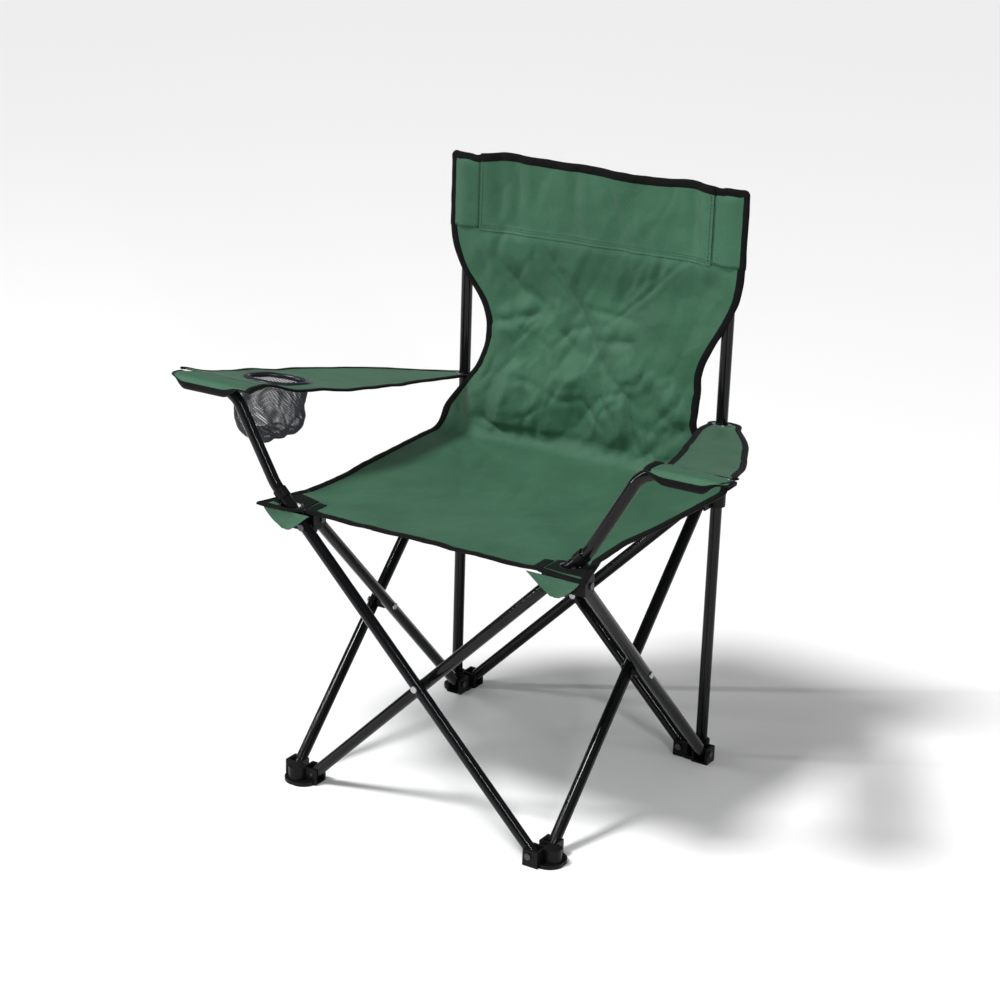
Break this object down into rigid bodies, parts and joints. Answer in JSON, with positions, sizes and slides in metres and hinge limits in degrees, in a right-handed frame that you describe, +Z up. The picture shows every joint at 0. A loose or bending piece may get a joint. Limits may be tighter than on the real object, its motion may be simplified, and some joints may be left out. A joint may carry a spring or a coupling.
{
  "type": "folding camp chair",
  "caption": "Quad-folding camp chair with a cloth seat, back and arm rests, and a mesh cup pocket in one arm rest.",
  "frame": {"origin": "middle of the ground outline of the chair", "axes": "+Z up, the sitter faces -Y, +X to the left of the sitter; the cup pocket is on the -X side"},
  "size_m": [0.82, 0.4684, 0.806],
  "materials": {
    "black_steel": "gloss black powder coat on steel tube",
    "black_plastic": "moulded black plastic with a soft sheen",
    "bright_steel": "bright plated steel",
    "green_cloth": "coated woven polyester with a faint sheen and soft creases",
    "black_webbing": "black coated cloth",
    "cup_rim": "black bound rim",
    "grey_mesh": "open grey net"
  },
  "bodies": {
    "foot_front_left": {"foot_front_left": "black_plastic", "foot_rivets_front_left": "bright_steel"},
    "tube_right_arm": {"front_tube_right_arm": "black_steel", "arm_collar_right": "black_plastic", "crossing_rivet_front": "bright_steel", "crossing_spacer_front": "black_plastic", "corner_eyelet_front_right": "bright_steel", "corner_patch_front_right": "black_webbing", "corner_flap_right": "green_cloth", "arm_sleeve_right": "green_cloth"},
    "tube_left_arm": {"front_tube_left_arm": "black_steel", "arm_collar_left": "black_plastic", "corner_eyelet_front_left": "bright_steel", "corner_patch_front_left": "black_webbing", "corner_flap_left": "green_cloth", "arm_sleeve_left": "green_cloth"},
    "foot_front_right": {"foot_front_right": "black_plastic", "foot_rivets_front_right": "bright_steel"},
    "tube_right_back": {"right_tube_rising_back": "black_steel", "crossing_rivet_right": "bright_steel", "crossing_spacer_right": "black_plastic"},
    "tube_right_front": {"right_tube_rising_front": "black_steel"},
    "foot_rear_right": {"foot_rear_right": "black_plastic", "foot_rivets_rear_right": "bright_steel", "back_post_right": "black_steel", "back_sleeve_right": "green_cloth", "back_upper": "green_cloth"},
    "tube_left_back": {"left_tube_rising_back": "black_steel"},
    "tube_left_front": {"left_tube_rising_front": "black_steel", "crossing_rivet_left": "bright_steel", "crossing_spacer_left": "black_plastic"},
    "foot_rear_left": {"foot_rear_left": "black_plastic", "foot_rivets_rear_left": "bright_steel", "back_post_left": "black_steel", "back_sleeve_left": "green_cloth"},
    "tube_rear_right": {"rear_tube_rising_right": "black_steel", "crossing_rivet_rear": "bright_steel", "crossing_spacer_rear": "black_plastic"},
    "tube_rear_left": {"rear_tube_rising_left": "black_steel"},
    "hub_front_left": {"hub_front_left": "black_plastic", "hub_rivets_front_left": "bright_steel"},
    "hub_front_right": {"hub_front_right": "black_plastic", "hub_rivets_front_right": "bright_steel"},
    "hub_rear_right": {"hub_rear_right": "black_plastic", "hub_rivets_rear_right": "bright_steel", "corner_tab_rear_right": "black_webbing", "corner_eyelet_rear_right": "bright_steel", "back_lower": "green_cloth"},
    "hub_rear_left": {"hub_rear_left": "black_plastic", "hub_rivets_rear_left": "bright_steel", "corner_tab_rear_left": "black_webbing", "corner_eyelet_rear_left": "bright_steel"},
    "seat_front": {"seat_front": "green_cloth"},
    "seat_rear": {"seat_rear": "green_cloth"},
    "arm_eyelet_right": {"arm_eyelet_right": "bright_steel"},
    "arm_eyelet_left": {"arm_eyelet_left": "bright_steel"},
    "arm_panel_right": {"arm_panel_right": "green_cloth"},
    "arm_panel_left": {"arm_panel_left": "green_cloth", "cup_ring": "cup_rim", "cup_mesh_pocket": "grey_mesh"}
  },
  "joints": [
    {"name": "fold", "type": "hinge", "parent": "foot_front_left", "child": "tube_right_arm", "pos_m": [-0.181, -0.18615, 0.014], "axis": [0, -1, 0], "range_deg": [0, 41.8], "deforming": ["corner_patch_front_right", "corner_flap_right", "arm_sleeve_right"]},
    {"name": "front_crossing", "type": "hinge", "parent": "tube_right_arm", "child": "tube_left_arm", "pos_m": [0, -0.19915, 0.198], "axis": [0, -1, 0], "range_deg": [-83.6, 0], "deforming": ["corner_patch_front_left", "corner_flap_left", "arm_sleeve_left"]},
    {"name": "foot_front_right_pivot", "type": "hinge", "parent": "tube_left_arm", "child": "foot_front_right", "pos_m": [0.181, -0.21215, 0.014], "axis": [0, -1, 0], "range_deg": [0, 41.8]},
    {"name": "hub_front_right_pivot", "type": "hinge", "parent": "tube_right_arm", "child": "hub_front_right", "pos_m": [0.181, -0.18615, 0.382], "axis": [0, -1, 0], "range_deg": [-41.8, 0]},
    {"name": "hub_front_left_pivot", "type": "hinge", "parent": "tube_left_arm", "child": "hub_front_left", "pos_m": [-0.181, -0.21215, 0.382], "axis": [0, -1, 0], "range_deg": [0, 41.8]},
    {"name": "left_lift", "type": "hinge", "parent": "foot_front_left", "child": "tube_left_back", "pos_m": [-0.216, -0.17715, 0.014], "axis": [1, 0, 0], "range_deg": [0, 41.8]},
    {"name": "left_crossing", "type": "hinge", "parent": "tube_left_back", "child": "tube_left_front", "pos_m": [-0.203, 0.00385, 0.198], "axis": [1, 0, 0], "range_deg": [-83.6, 0]},
    {"name": "foot_rear_left_pivot", "type": "hinge", "parent": "tube_left_front", "child": "foot_rear_left", "pos_m": [-0.19, 0.18485, 0.014], "axis": [1, 0, 0], "range_deg": [0, 41.8]},
    {"name": "hub_rear_left_pivot", "type": "hinge", "parent": "tube_left_back", "child": "hub_rear_left", "pos_m": [-0.216, 0.18485, 0.382], "axis": [1, 0, 0], "range_deg": [-41.8, 0]},
    {"name": "right_lift", "type": "hinge", "parent": "foot_front_right", "child": "tube_right_back", "pos_m": [0.19, -0.17715, 0.014], "axis": [1, 0, 0], "range_deg": [0, 41.8]},
    {"name": "right_crossing", "type": "hinge", "parent": "tube_right_back", "child": "tube_right_front", "pos_m": [0.203, 0.00385, 0.198], "axis": [1, 0, 0], "range_deg": [-83.6, 0]},
    {"name": "foot_rear_right_pivot", "type": "hinge", "parent": "tube_right_front", "child": "foot_rear_right", "pos_m": [0.216, 0.18485, 0.014], "axis": [1, 0, 0], "range_deg": [0, 41.8], "deforming": ["back_upper"]},
    {"name": "hub_rear_right_pivot", "type": "hinge", "parent": "tube_right_back", "child": "hub_rear_right", "pos_m": [0.19, 0.18485, 0.382], "axis": [1, 0, 0], "range_deg": [-41.8, 0], "deforming": ["back_lower"]},
    {"name": "rear_lift", "type": "hinge", "parent": "foot_rear_left", "child": "tube_rear_right", "pos_m": [-0.181, 0.21985, 0.014], "axis": [0, -1, 0], "range_deg": [0, 41.8]},
    {"name": "rear_crossing", "type": "hinge", "parent": "tube_rear_right", "child": "tube_rear_left", "pos_m": [0, 0.20685, 0.198], "axis": [0, -1, 0], "range_deg": [-83.6, 0]},
    {"name": "seat_front_fold", "type": "hinge", "parent": "hub_front_right", "child": "seat_front", "pos_m": [0, -0.19915, 0.405], "axis": [1, 0, 0], "range_deg": [-85.23, 0], "deforming": ["seat_front"]},
    {"name": "seat_rear_fold", "type": "hinge", "parent": "hub_rear_right", "child": "seat_rear", "pos_m": [0, 0.16885, 0.405], "axis": [1, 0, 0], "range_deg": [0, 85.23], "deforming": ["seat_rear"]},
    {"name": "arm_right_slide", "type": "slide", "parent": "foot_rear_right", "child": "arm_eyelet_right", "axis": [0, 0, 1], "range_m": [0, 0.1]},
    {"name": "arm_right_swing", "type": "hinge", "parent": "arm_eyelet_right", "child": "arm_panel_right", "pos_m": [0.203, 0.20685, 0.485], "axis": [-0.805, -0.487, -0.3388], "range_deg": [0, 79.65], "deforming": ["arm_panel_right"]},
    {"name": "arm_left_slide", "type": "slide", "parent": "foot_rear_left", "child": "arm_eyelet_left", "axis": [0, 0, 1], "range_m": [0, 0.1]},
    {"name": "arm_left_swing", "type": "hinge", "parent": "arm_eyelet_left", "child": "arm_panel_left", "pos_m": [-0.203, 0.20685, 0.485], "axis": [-0.7666, 0.5516, 0.3288], "range_deg": [0, 72.28], "deforming": ["arm_panel_left", "cup_ring", "cup_mesh_pocket"]}
  ],
  "couplings": [
    {"joint": "front_crossing", "follows": "fold", "ratio": -2},
    {"joint": "foot_front_right_pivot", "follows": "fold", "ratio": 1},
    {"joint": "hub_front_right_pivot", "follows": "fold", "ratio": -1},
    {"joint": "hub_front_left_pivot", "follows": "fold", "ratio": 1},
    {"joint": "left_lift", "follows": "fold", "ratio": 1},
    {"joint": "left_crossing", "follows": "fold", "ratio": -2},
    {"joint": "foot_rear_left_pivot", "follows": "fold", "ratio": 1},
    {"joint": "hub_rear_left_pivot", "follows": "fold", "ratio": -1},
    {"joint": "right_lift", "follows": "fold", "ratio": 1},
    {"joint": "right_crossing", "follows": "fold", "ratio": -2},
    {"joint": "foot_rear_right_pivot", "follows": "fold", "ratio": 1},
    {"joint": "hub_rear_right_pivot", "follows": "fold", "ratio": -1},
    {"joint": "rear_lift", "follows": "fold", "ratio": 1},
    {"joint": "rear_crossing", "follows": "fold", "ratio": -2},
    {"joint": "seat_front_fold", "follows": "fold", "ratio": -2.0391},
    {"joint": "seat_rear_fold", "follows": "fold", "ratio": 2.0391},
    {"joint": "arm_right_slide", "follows": "fold", "m_per_rad": 0.13707},
    {"joint": "arm_right_swing", "follows": "fold", "ratio": 1.9055},
    {"joint": "arm_left_slide", "follows": "fold", "m_per_rad": 0.13707},
    {"joint": "arm_left_swing", "follows": "fold", "ratio": 1.7292}
  ]
}
